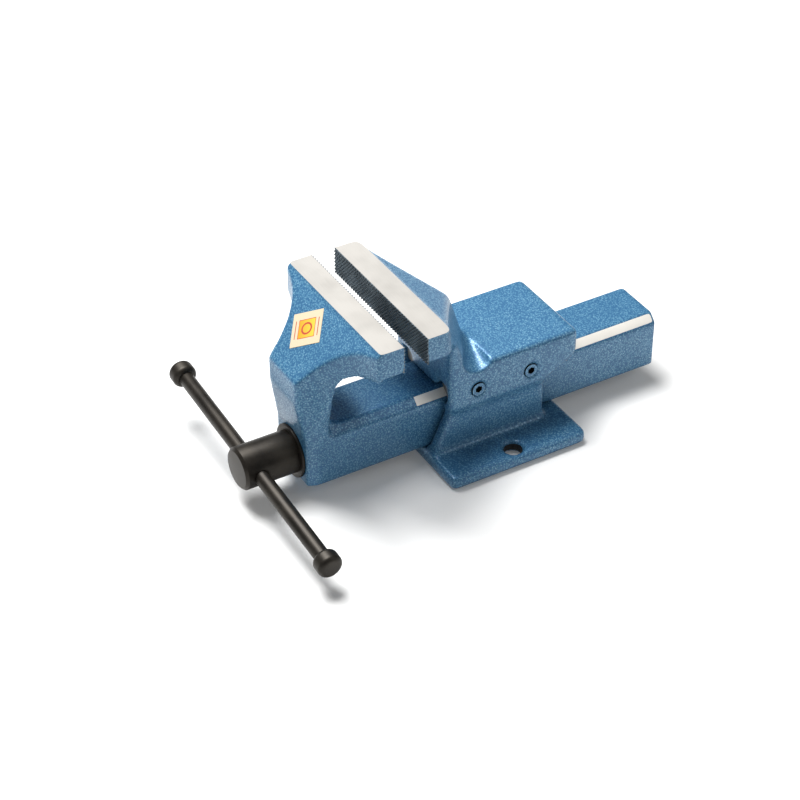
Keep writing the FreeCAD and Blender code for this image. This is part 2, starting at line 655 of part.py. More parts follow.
def makeRetainingCollar():
    ring = ringOnSpindle("collarRing", "collarSize", "threadSize + 2 * fitGap", COLLAR_FRONT, "collarLong")
    drill = cylinder("collarDrill", "pinSize + 2 * fitGap", "2 * collarSize")
    place(drill, TILT)
    drill.Placement = FreeCAD.Placement(TILT.multVec(FreeCAD.Vector(0, 0, -size["collarSize"])), TILT)
    drill.setExpression("Placement.Base.y", bound(COLLAR_MID))
    drill.setExpression("Placement.Base.z", bound("spindleHigh - collarSize"))
    return cutAway(ring, drill, "retaining_collar")


def makeCollarPin():
    pin = cylinder("collar_pin", "pinSize", "collarSize - 2 * pinShort")
    down = TILT.multVec(FreeCAD.Vector(0, 0, -1))
    reach = size["collarSize"] / 2 - size["pinShort"]
    pin.Placement = FreeCAD.Placement(down.multiply(reach), TILT)
    pin.setExpression("Placement.Base.y", bound(COLLAR_MID))
    pin.setExpression("Placement.Base.z", bound("spindleHigh - collarSize / 2 + pinShort"))
    return pin


def alongBar(distance):
    """Point on the tommy bar's axis, at a distance from the middle."""
    middle = FreeCAD.Vector(0, size["barPlace"], size["spindleHigh"])
    return middle.add(TILT.multVec(X_AXIS).multiply(distance))


def makeTommyBar():
    bar = cylinder("tommy_bar", "barSize", "2 * barHalf")
    turn = TILT.multiply(FreeCAD.Rotation(Y_AXIS, 90))
    bar.Placement = FreeCAD.Placement(alongBar(-size["barHalf"]), turn)
    return bar


def makeKnob(side, name):
    """Cap pressed on one end of the bar."""
    outside = cylinder(name + "Blank", "knobSize", "knobLong")
    rounded = doc.addObject("Part::Fillet", name + "Rounded")
    rounded.Base = outside
    doc.recompute()
    rims = [number for number, edge in enumerate(outside.Shape.Edges, start=1) if edge.Closed]
    rounded.Edges = [(number, size["knobRound"], size["knobRound"]) for number in rims]
    bore = cylinder(name + "Bore", "barSize + 2 * fitGap", "knobLong - knobCap + fitGap")
    result = cutAway(rounded, bore, name)
    start = size["barHalf"] + size["knobCap"] - size["knobLong"] + size["fitGap"]
    turn = TILT.multiply(FreeCAD.Rotation(Y_AXIS, 90 * side))
    result.Placement = FreeCAD.Placement(alongBar(side * start), turn)
    return result


# ---------------------------------------------------------------- nut
NUT_SCREWS = ("nutFront + nutScrewInset", "nutRear - nutScrewInset")
NUT_MID = "( nutFront + nutRear ) / 2"


def makeNut():
    block = doc.addObject("Part::Box", "nutBlock")
    block.setExpression("Length", bound("nutWidth"))
    block.setExpression("Width", bound("nutRear - nutFront"))
    block.setExpression("Height", bound("nutTop - baseThick"))
    place(block, NO_TURN, x="0 - nutWidth / 2", y="nutFront", z="baseThick")
    core = cylinder("nutCore", "threadSize + 2 * fitGap", "nutRear - nutFront + 2 * overrun")
    place(core, ALONG_Y, y="nutFront - overrun", z="spindleHigh")
    tools = [core]
    for number, along in enumerate(NUT_SCREWS):
        hole = cylinder(f"nutTap{number}", "nutScrewSize + 2 * fitGap", "nutScrewTip - baseThick + overrun + fitGap")
        tools.append(place(hole, NO_TURN, y=along, z="baseThick - overrun"))
    for side in (1, -1):
        drill = cylinder(f"dowelDrill{side + 1}", "dowelSize + 2 * fitGap", "dowelTip - baseThick + overrun + fitGap")
        place(drill, NO_TURN, x=f"{side} * dowelSpacing / 2", y=NUT_MID, z="baseThick - overrun")
        tools.append(drill)
    return cutAway(block, fused(tools, "nutTools"), "spindle_nut")


def makeNutScrew(name, along):
    """Low-headed socket screw from below."""
    shank = cylinder(name + "Shank", "nutScrewSize", "nutScrewTip - nutHeadSunk")
    place(shank, NO_TURN, y=along, z="nutHeadSunk")
    head = cylinder(name + "Head", "nutScrewHead", "nutHeadHigh")
    place(head, NO_TURN, y=along, z="nutHeadSunk")
    socket = hexPrism(name + "Socket", "nutSocket", "nutHeadHigh - nutSocketFloor")
    place(socket, NO_TURN, y=along, z="nutHeadSunk")
    return cutAway(fused([shank, head], name + "Blank"), socket, name)


def makeDowel(side, name):
    """Pin that carries the screw's pull from the nut into the base."""
    pin = cylinder(name, "dowelSize", "dowelTip - dowelSunk")
    return place(pin, NO_TURN, x=f"{side} * dowelSpacing / 2", y=NUT_MID, z="dowelSunk")


# ---------------------------------------------------------------- label
def makeLabel():
    """Thin square on the front slope, turned on it."""
    label = doc.addObject("Part::Box", "jaw_label")
    label.setExpression("Length", bound("labelSide"))
    label.setExpression("Width", bound("labelSide"))
    label.setExpression("Height", bound("labelThick"))
    slope = math.degrees(math.atan2(size["slopeFall"], size["noseReach"]))
    onSlope = FreeCAD.Rotation(X_AXIS, slope)
    turn = onSlope.multiply(FreeCAD.Rotation(FreeCAD.Vector(0, 0, 1), size["labelTurn"]))
    down = onSlope.multVec(FreeCAD.Vector(0, -size["labelDown"], 0))
    centre = FreeCAD.Vector(size["labelAcross"], landEdge, size["jawTop"]).add(down)
    half = size["labelSide"] / 2
    corner = centre.sub(turn.multVec(FreeCAD.Vector(half, half, 0)))
    label.Placement = FreeCAD.Placement(corner, turn)
    return label


# ---------------------------------------------------------------- assembly and files
pieces = [
    makeFixedBody(),
    makeMovingJaw(),
    makeGib(1, "gib_right"),
    makeGib(-1, "gib_left"),
    makeSpindle(),
    makeThrustWasher(),
    makeRetainingCollar(),
    makeCollarPin(),
    makeTommyBar(),
    makeKnob(1, "bar_knob_right"),
    makeKnob(-1, "bar_knob_left"),
    makeNut(),
    makeNutScrew("nut_screw_front", NUT_SCREWS[0]),
    makeNutScrew("nut_screw_rear", NUT_SCREWS[1]),
    makeDowel(1, "nut_dowel_right"),
    makeDowel(-1, "nut_dowel_left"),
    makeLabel(),
]
for side, hand in ((1, "right"), (-1, "left")):
    for end, along in (("front", "gibScrewFront"), ("rear", "gibScrewRear")):
        pieces.append(makeGibScrew(side, f"gib_screw_{hand}_{end}", along))
doc.recompute()

for item in doc.Objects:
    if "Invalid" in item.State or "Error" in item.State:
        raise ValueError(f"{item.Label} failed: {item.State}")
for piece in pieces:
    if piece.Shape.isNull() or not piece.Shape.isValid():
        raise ValueError(f"{piece.Label} has no valid shape")
os.makedirs("parts", exist_ok=True)
for piece in pieces:
    piece.Shape.exportStep(os.path.join("parts", piece.Label + ".step"))
    print(piece.Label, len(piece.Shape.Solids), round(piece.Shape.Volume / 1000, 2), "cm3")
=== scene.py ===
# Bench vise: hammered blue castings, ground jaws, blackened spindle and tommy bar.
import json
import math

import bmesh
import bpy
from mathutils import Matrix, Vector

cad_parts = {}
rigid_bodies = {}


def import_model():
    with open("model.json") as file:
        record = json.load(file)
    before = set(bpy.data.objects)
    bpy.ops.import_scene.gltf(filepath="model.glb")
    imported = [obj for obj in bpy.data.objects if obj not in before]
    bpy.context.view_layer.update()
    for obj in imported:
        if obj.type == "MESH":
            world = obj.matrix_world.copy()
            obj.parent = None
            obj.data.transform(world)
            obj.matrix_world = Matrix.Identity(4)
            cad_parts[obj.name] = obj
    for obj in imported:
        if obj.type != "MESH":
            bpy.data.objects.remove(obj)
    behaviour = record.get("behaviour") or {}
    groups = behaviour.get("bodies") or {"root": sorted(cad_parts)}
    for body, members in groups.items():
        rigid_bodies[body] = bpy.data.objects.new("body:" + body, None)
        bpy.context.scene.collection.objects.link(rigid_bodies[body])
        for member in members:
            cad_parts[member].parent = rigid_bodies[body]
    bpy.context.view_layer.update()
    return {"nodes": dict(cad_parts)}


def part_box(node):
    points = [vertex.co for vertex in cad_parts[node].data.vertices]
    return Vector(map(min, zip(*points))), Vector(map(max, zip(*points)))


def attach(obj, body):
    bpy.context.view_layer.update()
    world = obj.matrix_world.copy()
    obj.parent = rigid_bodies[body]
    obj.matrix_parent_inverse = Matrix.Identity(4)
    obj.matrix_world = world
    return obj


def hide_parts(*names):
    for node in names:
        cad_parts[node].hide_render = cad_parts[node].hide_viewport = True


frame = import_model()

cadNodes = frame["nodes"]
mm = 0.001
print("frame loaded:", len(cadNodes), "nodes")


def hexColour(code):
    # an sRGB hex code turned into the linear colour that a shader takes
    parts = [int(code[i:i + 2], 16) / 255 for i in (1, 3, 5)]
    linear = [p / 12.92 if p <= 0.04045 else ((p + 0.055) / 1.055) ** 2.4 for p in parts]
    return (*linear, 1.0)


def addNode(tree, kind, settings=None, links=None):
    # one node with its settings and links: a key that names or numbers a socket is an input, and the
    # rest are properties; a link starts from a socket, or from a node, which means its first output
    node = tree.nodes.new(kind)
    for key, value in (settings or {}).items():
        if isinstance(key, int) or key in node.inputs:
            node.inputs[key].default_value = value
        else:
            setattr(node, key, value)
    for key, source in (links or {}).items():
        tree.links.new(source.outputs[0] if isinstance(source, bpy.types.Node) else source, node.inputs[key])
    return node


def newFinish(name):
    finish = bpy.data.materials.new(name)
    finish.use_nodes = True
    tree = finish.node_tree
    tree.nodes.clear()
    output = addNode(tree, "ShaderNodeOutputMaterial")
    return finish, tree, output


def setRamp(node, stops):
    ramp = node.color_ramp
    while len(ramp.elements) > 1:
        ramp.elements.remove(ramp.elements[-1])
    ramp.elements[0].position, ramp.elements[0].color = stops[0]
    for position, colour in stops[1:]:
        ramp.elements.new(position).color = colour


def deselectAll():
    for thing in bpy.context.view_layer.objects:
        thing.select_set(False)


def makeActive(piece):
    deselectAll()
    piece.select_set(True)
    bpy.context.view_layer.objects.active = piece


def applyModifier(piece, name, kind, **settings):
    makeActive(piece)
    modifier = piece.modifiers.new(name, kind)
    for key, value in settings.items():
        setattr(modifier, key, value)
    bpy.ops.object.modifier_apply(modifier=modifier.name)


def settle(piece):
    # the place, turn and size go into the mesh
    makeActive(piece)
    bpy.ops.object.transform_apply(location=True, rotation=True, scale=True)


def editFaces(piece, test):
    # leaves the piece in edit mode with the faces that pass the test selected
    makeActive(piece)
    bpy.ops.object.mode_set(mode="EDIT")
    bpy.ops.mesh.select_mode(type="FACE")
    bpy.ops.mesh.select_all(action="DESELECT")
    mesh = bmesh.from_edit_mesh(piece.data)
    for face in mesh.faces:
        face.select_set(test(face.calc_center_median(), face.normal))
    mesh.select_flush_mode()
    bmesh.update_edit_mesh(piece.data)


def editEdges(piece, test):
    makeActive(piece)
    bpy.ops.object.mode_set(mode="EDIT")
    bpy.ops.mesh.select_mode(type="EDGE")
    bpy.ops.mesh.select_all(action="DESELECT")
    mesh = bmesh.from_edit_mesh(piece.data)
    for edge in mesh.edges:
        edge.select_set(test(edge))
    mesh.select_flush_mode()
    bmesh.update_edit_mesh(piece.data)


def objectMode():
    bpy.ops.object.mode_set(mode="OBJECT")


def paintFaces(piece, finishes, chooser):
    # chooser gives the place in finishes for a face's centre and normal
    piece.data.materials.clear()
    for finish in finishes:
        piece.data.materials.append(finish)
    for face in piece.data.polygons:
        face.material_index = chooser(face.center, face.normal)


def smoothByAngle(piece, degrees):
    makeActive(piece)
    bpy.ops.object.shade_smooth_by_angle(angle=math.radians(degrees))


def blockTool(name, low, high):
    # a cutting block between two corners, in millimetres
    centre = [(a + b) / 2 * mm for a, b in zip(low, high)]
    size = [(b - a) * mm for a, b in zip(low, high)]
    deselectAll()
    bpy.ops.mesh.primitive_cube_add(size=1, location=centre)
    tool = bpy.context.object
    tool.name = name
    tool.scale = size
    settle(tool)
    return tool


def rodTool(name, centre, radius, length, turn=(0.0, 0.0, 0.0), sides=48):
    deselectAll()
    bpy.ops.mesh.primitive_cylinder_add(
        vertices=sides, radius=radius * mm, depth=length * mm,
        location=[c * mm for c in centre], rotation=turn)
    tool = bpy.context.object
    tool.name = name
    settle(tool)
    return tool


def cutWith(piece, tools):
    # all the tools take their metal off the piece, one after another
    for tool in tools:
        applyModifier(piece, "cut", "BOOLEAN", operation="DIFFERENCE", solver="EXACT", object=tool)
        bpy.data.objects.remove(tool)


def copyNode(node, name):
    # a welded copy of a CAD solid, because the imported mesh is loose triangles
    piece = bpy.data.objects.new(name, cadNodes[node].data.copy())
    bpy.context.scene.collection.objects.link(piece)
    makeActive(piece)
    bpy.ops.object.mode_set(mode="EDIT")
    bpy.ops.mesh.select_all(action="SELECT")
    bpy.ops.mesh.remove_doubles(threshold=1e-6)
    bpy.ops.mesh.select_all(action="SELECT")
    bpy.ops.mesh.customdata_custom_splitnormals_clear()
    objectMode()
    return piece


def hammeredEnamel():
    # hammered blue enamel on a casting: glossy skin with fine pits, each pit darker than its pale rim
    look = {"pale": "#93b8c9", "main": "#5286a6", "deep": "#2a5f86",
            "cell": 1.25, "grain": 0.7,  # width of a pit and of the grain between pits, in millimetres
            "bend": 0.0011, "grainShare": 0.55, "cloudShare": 0.25}
    finish, tree, output = newFinish("hammered blue enamel")
    coords = addNode(tree, "ShaderNodeTexCoord")
    place = coords.outputs["Object"]
    wander = addNode(tree, "ShaderNodeTexNoise", {"Scale": 420.0, "Detail": 2.0}, {"Vector": place})
    bent = addNode(tree, "ShaderNodeVectorMath", {"operation": "MULTIPLY_ADD", 1: [look["bend"]] * 3},
                   {0: wander.outputs["Color"], 2: place})
    cells = addNode(tree, "ShaderNodeTexVoronoi", {"feature": "SMOOTH_F1", "Scale": 1000 / look["cell"],
                    "Smoothness": 0.6}, {"Vector": bent.outputs["Vector"]})
    grain = addNode(tree, "ShaderNodeTexNoise", {"Scale": 1000 / look["grain"], "Detail": 3.0,
                    "Roughness": 0.6}, {"Vector": place})
    clouds = addNode(tree, "ShaderNodeTexNoise", {"Scale": 28.0, "Detail": 3.0}, {"Vector": place})
    mixed = addNode(tree, "ShaderNodeMath", {"operation": "MULTIPLY_ADD", 1: look["grainShare"]},
                    {0: grain.outputs["Fac"], 2: cells.outputs["Distance"]})
    shift = addNode(tree, "ShaderNodeMath", {"operation": "MULTIPLY_ADD", 1: look["cloudShare"]},
                    {0: clouds.outputs["Fac"], 2: mixed.outputs["Value"]})
    colour = addNode(tree, "ShaderNodeValToRGB", {}, {"Fac": shift.outputs["Value"]})
    setRamp(colour, [(0.38, hexColour(look["pale"])), (0.66, hexColour(look["main"])),
                     (1.0, hexColour(look["deep"]))])
    rough = addNode(tree, "ShaderNodeMapRange", {"From Min": 0.4, "From Max": 1.0, "To Min": 0.3,
                    "To Max": 0.46}, {"Value": shift.outputs["Value"]})
    bump = addNode(tree, "ShaderNodeBump", {"Strength": 0.45, "Distance": 0.00016, "invert": True},
                   {"Height": mixed.outputs["Value"]})
    skin = addNode(tree, "ShaderNodeBsdfPrincipled", {"Metallic": 0.25, "IOR": 1.5, "Coat Weight": 0.25,
                   "Coat Roughness": 0.16},
                   {"Base Color": colour.outputs["Color"], "Roughness": rough.outputs["Result"],
                    "Normal": bump.outputs["Normal"]})
    tree.links.new(skin.outputs["BSDF"], output.inputs["Surface"])
    return finish


def groundSteel(name, bright, shade):
    # bright cut steel: pale and satin, with fine straight lines across the jaws
    look = {"bright": bright, "shade": shade, "lines": 0.35, "stretch": 0.02, "lineShare": 0.5}
    finish, tree, output = newFinish(name)
    place = addNode(tree, "ShaderNodeTexCoord").outputs["Object"]
    stretched = addNode(tree, "ShaderNodeMapping", {"Scale": (look["stretch"], 1.0, 1.0)}, {"Vector": place})
    lines = addNode(tree, "ShaderNodeTexNoise", {"Scale": 1000 / look["lines"], "Detail": 2.0},
                    {"Vector": stretched.outputs["Vector"]})
    patches = addNode(tree, "ShaderNodeTexNoise", {"Scale": 40.0, "Detail": 2.0}, {"Vector": place})
    both = addNode(tree, "ShaderNodeMath", {"operation": "MULTIPLY_ADD", 1: look["lineShare"]},
                   {0: lines.outputs["Fac"], 2: patches.outputs["Fac"]})
    colour = addNode(tree, "ShaderNodeValToRGB", {}, {"Fac": both.outputs["Value"]})
    setRamp(colour, [(0.5, hexColour(look["shade"])), (0.85, hexColour(look["bright"]))])
    rough = addNode(tree, "ShaderNodeMapRange", {"From Min": 0.4, "From Max": 1.0, "To Min": 0.5,
                    "To Max": 0.62}, {"Value": both.outputs["Value"]})
    bump = addNode(tree, "ShaderNodeBump", {"Strength": 0.15, "Distance": 0.00005},
                   {"Height": lines.outputs["Fac"]})
    skin = addNode(tree, "ShaderNodeBsdfPrincipled", {"Metallic": 0.3},
                   {"Base Color": colour.outputs["Color"], "Roughness": rough.outputs["Result"],
                    "Normal": bump.outputs["Normal"]})
    tree.links.new(skin.outputs["BSDF"], output.inputs["Surface"])
    return finish


def satinMetal(name, code, worn, roughness, metallic, grain):
    # a satin metal with fine grain and slow worn patches between two tones
    finish, tree, output = newFinish(name)
    place = addNode(tree, "ShaderNodeTexCoord").outputs["Object"]
    fine = addNode(tree, "ShaderNodeTexNoise", {"Scale": 1000 / grain, "Detail": 4.0, "Roughness": 0.6},
                   {"Vector": place})
    patches = addNode(tree, "ShaderNodeTexNoise", {"Scale": 60.0, "Detail": 3.0}, {"Vector": place})
    both = addNode(tree, "ShaderNodeMath", {"operation": "MULTIPLY_ADD", 1: 0.6},
                   {0: fine.outputs["Fac"], 2: patches.outputs["Fac"]})
    colour = addNode(tree, "ShaderNodeValToRGB", {}, {"Fac": both.outputs["Value"]})
    setRamp(colour, [(0.55, hexColour(code)), (1.0, hexColour(worn))])
    rough = addNode(tree, "ShaderNodeMapRange", {"From Min": 0.4, "From Max": 1.1, "To Min": roughness,
                    "To Max": roughness + 0.15}, {"Value": both.outputs["Value"]})
    bump = addNode(tree, "ShaderNodeBump", {"Strength": 0.2, "Distance": 0.00006},
                   {"Height": fine.outputs["Fac"]})
    skin = addNode(tree, "ShaderNodeBsdfPrincipled", {"Metallic": metallic},
                   {"Base Color": colour.outputs["Color"], "Roughness": rough.outputs["Result"],
                    "Normal": bump.outputs["Normal"]})
    tree.links.new(skin.outputs["BSDF"], output.inputs["Surface"])
    return finish


blueEnamel = hammeredEnamel()
# a pale satin on the tops of the jaws
brightSteel = groundSteel("ground steel", "#a5a29d", "#999691")
# nearly white: bright milled steel with a painted highlight, standing for the light that the slide's guide
# faces catch
milledSteelHighlight = groundSteel("fine-milled steel with painted highlight", "#f4f0e8", "#eae6de")
# near black and warm, with a soft sheen on the head, bar and knobs
blackSteel = satinMetal("oil-blackened steel", "#1c1916", "#34302a", 0.36, 0.7, 0.5)
# blue-grey, so that the flanks of the teeth catch the light
toothSteel = satinMetal("hardened tooth steel", "#36434c", "#717e86", 0.32, 0.85, 0.7)
# painted shade: the inside of the bolt holes made dull and near black, standing for the shade in them
boltHoleShade = satinMetal("painted shade in the bolt holes", "#15171a", "#2a2c30", 0.6, 0.3, 0.8)
# pale and bright on the small fasteners
zincSteel = satinMetal("zinc-plated steel", "#a9adb0", "#c9cccd", 0.32, 1.0, 0.6)
# a plain mid grey on the machined iron pieces inside
greyIron = satinMetal("machined grey iron", "#6f6f6c", "#8d8c88", 0.5, 0.6, 0.8)
print("finishes made")


casting = {
    "voxel": 1.15,        # grain of the softened skin
    "jawSoft": 16,        # rounds of softening on the forged jaw
    "hollowSoft": 7,      # on the body's side troughs
    "bodySoft": 60,       # and on the body, whose edges are rounder
    "toothHigh": 1.0,     # how far the teeth stand out of the grip
    "toothPitch": 2.8,    # the real teeth are near 2 mm apart, drawn coarser so that they show
    "toothBack": 0.5,     # thickness of the plate behind the teeth
    "toothClear": (0.05, 0.02, 0.1),  # left below, above and in all across the toothed plate
}


def softCasting(node, name, ground, rounds, fillers=(), hollows=()):
    # the solid with rounded edges all over; spare metal first goes on the faces that are ground later
    piece = copyNode(node, name)
    for test, move in ground:
        editFaces(piece, test)
        bpy.ops.mesh.extrude_region_move(TRANSFORM_OT_translate={"value": move})
        objectMode()
    if fillers:
        makeActive(piece)
        for filler in fillers:
            filler.select_set(True)
        bpy.ops.object.join()
    voxel = casting["voxel"] * mm
    applyModifier(piece, "skin", "REMESH", mode="VOXEL", voxel_size=voxel, adaptivity=0.0)
    applyModifier(piece, "soften", "SMOOTH", factor=0.5, iterations=rounds)
    if hollows:
        # these stay crisper than the rest
        cutWith(piece, hollows)
        applyModifier(piece, "skin", "REMESH", mode="VOXEL", voxel_size=voxel, adaptivity=0.0)
        applyModifier(piece, "soften", "SMOOTH", factor=0.5, iterations=casting["hollowSoft"])
    return piece


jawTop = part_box("moving_jaw")[1].z / mm
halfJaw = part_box("moving_jaw")[1].x / mm
rearGrip = -76.0
opening = 16.5        # between the grips at rest
frontGrip = rearGrip - opening
gripBottom = 115.3    # the toothed plate reaches a little below the gripping face
recess = casting["toothHigh"]
relief, reliefDown, reliefUp = 1.2, 7.0, 1.0  # step back below a grip, and its reach down and up
spare = 6.0           # metal left on for grinding
clear = 80.0          # reach of a cutting block past the jaws' ends
overrun = 20.0        # and above them
jawCut = (-130.0, -60.0)   # from front to rear, what the jaw's cutting blocks span
bodyCut = (-100.0, -40.0)  # and the body's
throat = (-90.0, -80.0)    # inside the gap between the jaws


def near(value, target, slack=0.05):
    return abs(value / mm - target) < slack


slide = {"half": 24.0, "top": 54.8, "chamfer": 6.6,
         "stripStart": -59.8, "stripEnd": 160.0, "stripLow": 46.0, "stripHigh": 56.5,
         "stripDeep": 0.12, "stripHalf": 30.0, "stripTall": 20.0}


def stripTool(side):
    # takes a thin strip off the slide's guide face, so that it is ground flat; its near-white colour is
    # bright steel with a painted highlight
    edgeX = side * (slide["half"] - slide["chamfer"] / 2)
    edgeZ = slide["top"] - slide["chamfer"] / 2
    tool = blockTool("stripTool", (-slide["stripHalf"], slide["stripStart"], 0),
                     (slide["stripHalf"], slide["stripEnd"], slide["stripTall"]))
    tool.data.transform(Matrix.Translation((0, 0, -slide["stripDeep"] * mm)))
    tool.data.transform(Matrix.Rotation(math.radians(45 * side), 4, "Y"))
    tool.data.transform(Matrix.Translation((edgeX * mm, 0, edgeZ * mm)))
    return tool


movingJaw = softCasting("moving_jaw", "moving_jaw_casting", [
    (lambda c, n: n.z > 0.99 and near(c.z, jawTop), (0, 0, spare * mm)),
    (lambda c, n: n.y > 0.99 and near(c.y, frontGrip), (0, spare * mm, 0)),
], casting["jawSoft"])
stripTools = [stripTool(side) for side in (1, -1)]
cutWith(movingJaw, [
    blockTool("topTool", (-clear, jawCut[0], jawTop), (clear, jawCut[1], jawTop + overrun)),
    blockTool("gripTool", (-clear, frontGrip - recess, gripBottom), (clear, jawCut[1], jawTop + overrun)),
    blockTool("reliefTool", (-clear, frontGrip - relief, gripBottom - reliefDown),
              (clear, throat[1], gripBottom + reliefUp)),
    *stripTools,
])
print("moving jaw cast:", len(movingJaw.data.polygons), "faces")

trough = {"half": 37.0, "front": -29.2, "rear": -6.5, "low": 70.5, "high": 78.5,
          "tip": (0, -7.0, 79.6), "mouth": (-18.3, 84.0), "radius": 12.2, "longer": 1.25}
foot = {"radius": 4.3, "wall": 35.0, "front": -53.0, "rear": 38.0, "rodMiddle": -8.0, "rodLong": 120.0}
plateTop = 10.5
hole = {"bolt": 6.75, "boltAcross": 53.7, "boltHigh": 5.0, "boltLong": 30.0,
        "screw": 5.06, "screwPlaces": (-18.4, 24.6), "screwHigh": 56.5, "screwLong": 90.0,
        "slideRoom": 0.35, "cornerRoom": 0.1, "slideReach": 120.0, "shoulderFrom": 40.0}


def troughCone(side):
    # hollows the filled valley to a round trough, which is deepest at the body's wall
    tip, mouth = Vector(trough["tip"]), Vector((side * trough["half"], *trough["mouth"]))
    axis = (mouth - tip) * trough["longer"]
    deselectAll()
    bpy.ops.mesh.primitive_cone_add(vertices=64, radius1=trough["radius"] * trough["longer"] * mm, radius2=0,
                                    depth=axis.length * mm, location=(tip + axis / 2) * mm)
    cone = bpy.context.object
    cone.rotation_euler = (-axis).to_track_quat("Z", "Y").to_euler()
    settle(cone)
    return cone


def footFillet(side):
    # round between the neck's wall and the plate
    wall, radius, floor = foot["wall"], foot["radius"], plateTop
    inner, outer = wall - 1, wall + radius
    low = (inner if side > 0 else -outer, foot["front"], floor - 1)
    high = (outer if side > 0 else -inner, foot["rear"], floor + radius)
    filler = blockTool("footFillet", low, high)
    cutWith(filler, [rodTool("filletRod", (side * outer, foot["rodMiddle"], floor + radius), radius,
                             foot["rodLong"], (math.radians(90), 0, 0), 64)])
    return filler


valleyFiller = blockTool("troughFiller", (-trough["half"], trough["front"], trough["low"]),
                         (trough["half"], trough["rear"], trough["high"]))
fixedBody = softCasting("fixed_body", "fixed_body_casting", [
    (lambda c, n: n.z > 0.99 and near(c.z, jawTop), (0, 0, spare * mm)),
    (lambda c, n: n.y < -0.99 and near(c.y, rearGrip), (0, -spare * mm, 0)),
], casting["bodySoft"], [valleyFiller, footFillet(1), footFillet(-1)], [troughCone(1), troughCone(-1)])
sideways = (0, math.radians(90), 0)
slideSide = slide["half"] + hole["slideRoom"]
slideShoulder = slide["half"] - slide["chamfer"] - hole["cornerRoom"]
cutWith(fixedBody, [
    blockTool("topTool", (-clear, bodyCut[0], jawTop), (clear, bodyCut[1], jawTop + overrun)),
    blockTool("gripTool", (-clear, bodyCut[0], gripBottom), (clear, rearGrip + recess, jawTop + overrun)),
    blockTool("reliefTool", (-clear, throat[0], gripBottom - reliefDown),
              (clear, rearGrip + relief, gripBottom + reliefUp)),
    blockTool("slideTool", (-slideSide, -hole["slideReach"], plateTop),
              (slideSide, hole["slideReach"], slide["top"] - slide["chamfer"] + hole["cornerRoom"])),
    blockTool("slideTopTool", (-slideShoulder, -hole["slideReach"], hole["shoulderFrom"]),
              (slideShoulder, hole["slideReach"], slide["top"] + hole["slideRoom"])),
    *[rodTool("boltTool", (side * hole["boltAcross"], 0, hole["boltHigh"]), hole["bolt"], hole["boltLong"])
      for side in (1, -1)],
    *[rodTool("screwTool", (0, place, hole["screwHigh"]), hole["screw"], hole["screwLong"], sideways)
      for place in hole["screwPlaces"]],
])
print("fixed body cast:", len(fixedBody.data.polygons), "faces")


flat, slant = 0.999, 0.7071  # how a ground face and the slide's 45 degree guide face point


def jawFinish(centre, normal):
    if normal.z > flat and near(centre.z, jawTop):
        return 1
    if abs(normal.y) > flat and centre.z / mm > gripBottom and (
            near(centre.y, frontGrip - recess) or near(centre.y, rearGrip + recess)):
        return 2
    # painted highlight: the slide's ground guide faces get the near-white steel finish
    if abs(abs(normal.x) - slant) < 0.002 and abs(normal.z - slant) < 0.002 and (
            centre.y / mm > slide["stripStart"] and slide["stripLow"] < centre.z / mm < slide["stripHigh"]):
        return 4
    # painted shade: the walls of the bolt holes get the near-black finish
    bolt = math.hypot(abs(centre.x / mm) - hole["boltAcross"], centre.y / mm)
    if centre.z / mm < plateTop + 1.5 and bolt < hole["bolt"] + 0.1 and abs(normal.z) < 0.1:
        return 3
    return 0


for piece, body, node in ((movingJaw, "jaw_group", "moving_jaw"), (fixedBody, "fixed_group", "fixed_body")):
    paintFaces(piece, [blueEnamel, brightSteel, toothSteel, boltHoleShade, milledSteelHighlight], jawFinish)
    smoothByAngle(piece, 32)
    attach(piece, body)
    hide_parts(node)


def gripTeeth(name, planeY, facing):
    # a milled grip: rows of small four-sided teeth on a thin hardened plate, tips on the CAD face
    pitch = casting["toothPitch"]
    below, above, across = casting["toothClear"]
    low, high = gripBottom + below, jawTop - above
    wide = 2 * halfJaw - across
    columns = int(2 * halfJaw / pitch) * 2
    rows = int((high - low) / pitch) * 2
    deselectAll()
    bpy.ops.mesh.primitive_grid_add(x_subdivisions=columns, y_subdivisions=rows, size=1)
    plate = bpy.context.object
    plate.name = name
    plate.scale = (wide * mm, (high - low) * mm, 1)
    plate.rotation_euler = (math.radians(90), 0, 0)
    plate.location = (0, planeY * mm, (low + high) / 2 * mm)
    settle(plate)
    stepX = wide * mm / columns
    stepZ = (high - low) * mm / rows
    mesh = bmesh.new()
    mesh.from_mesh(plate.data)

    def sunk(vertex):
        column = round((vertex.co.x + halfJaw * mm) / stepX)
        row = round((vertex.co.z - low * mm) / stepZ)
        return (column + row) % 2 == 1

    hollows = {vertex for vertex in mesh.verts if sunk(vertex)}
    for face in list(mesh.faces):
        ends = [vertex for vertex in face.verts if vertex in hollows]
        bmesh.utils.face_split(face, *ends)  # each tooth gets four flat flanks
    for vertex in hollows:
        vertex.co.y -= facing * casting["toothHigh"] * mm
    mesh.to_mesh(plate.data)
    mesh.free()
    # the plate's back lies just inside the casting, so that the plate is a closed solid
    editEdges(plate, lambda edge: edge.is_boundary)
    bpy.ops.mesh.extrude_region_move(TRANSFORM_OT_translate={"value": (0, 0, 0)})
    mesh = bmesh.from_edit_mesh(plate.data)
    for vertex in mesh.verts:
        if vertex.select:
            vertex.co.y = (planeY - facing * (casting["toothHigh"] + casting["toothBack"])) * mm
    bmesh.update_edit_mesh(plate.data)
    bpy.ops.mesh.edge_face_add()
    bpy.ops.mesh.select_all(action="SELECT")
    bpy.ops.mesh.normals_make_consistent(inside=False)
    objectMode()
    return plate


frontTeeth = gripTeeth("front_grip_teeth", frontGrip, 1)
rearTeeth = gripTeeth("rear_grip_teeth", rearGrip, -1)
for teeth, body in ((frontTeeth, "jaw_group"), (rearTeeth, "fixed_group")):
    teeth.data.materials.append(toothSteel)
    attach(teeth, body)
print("grips toothed")


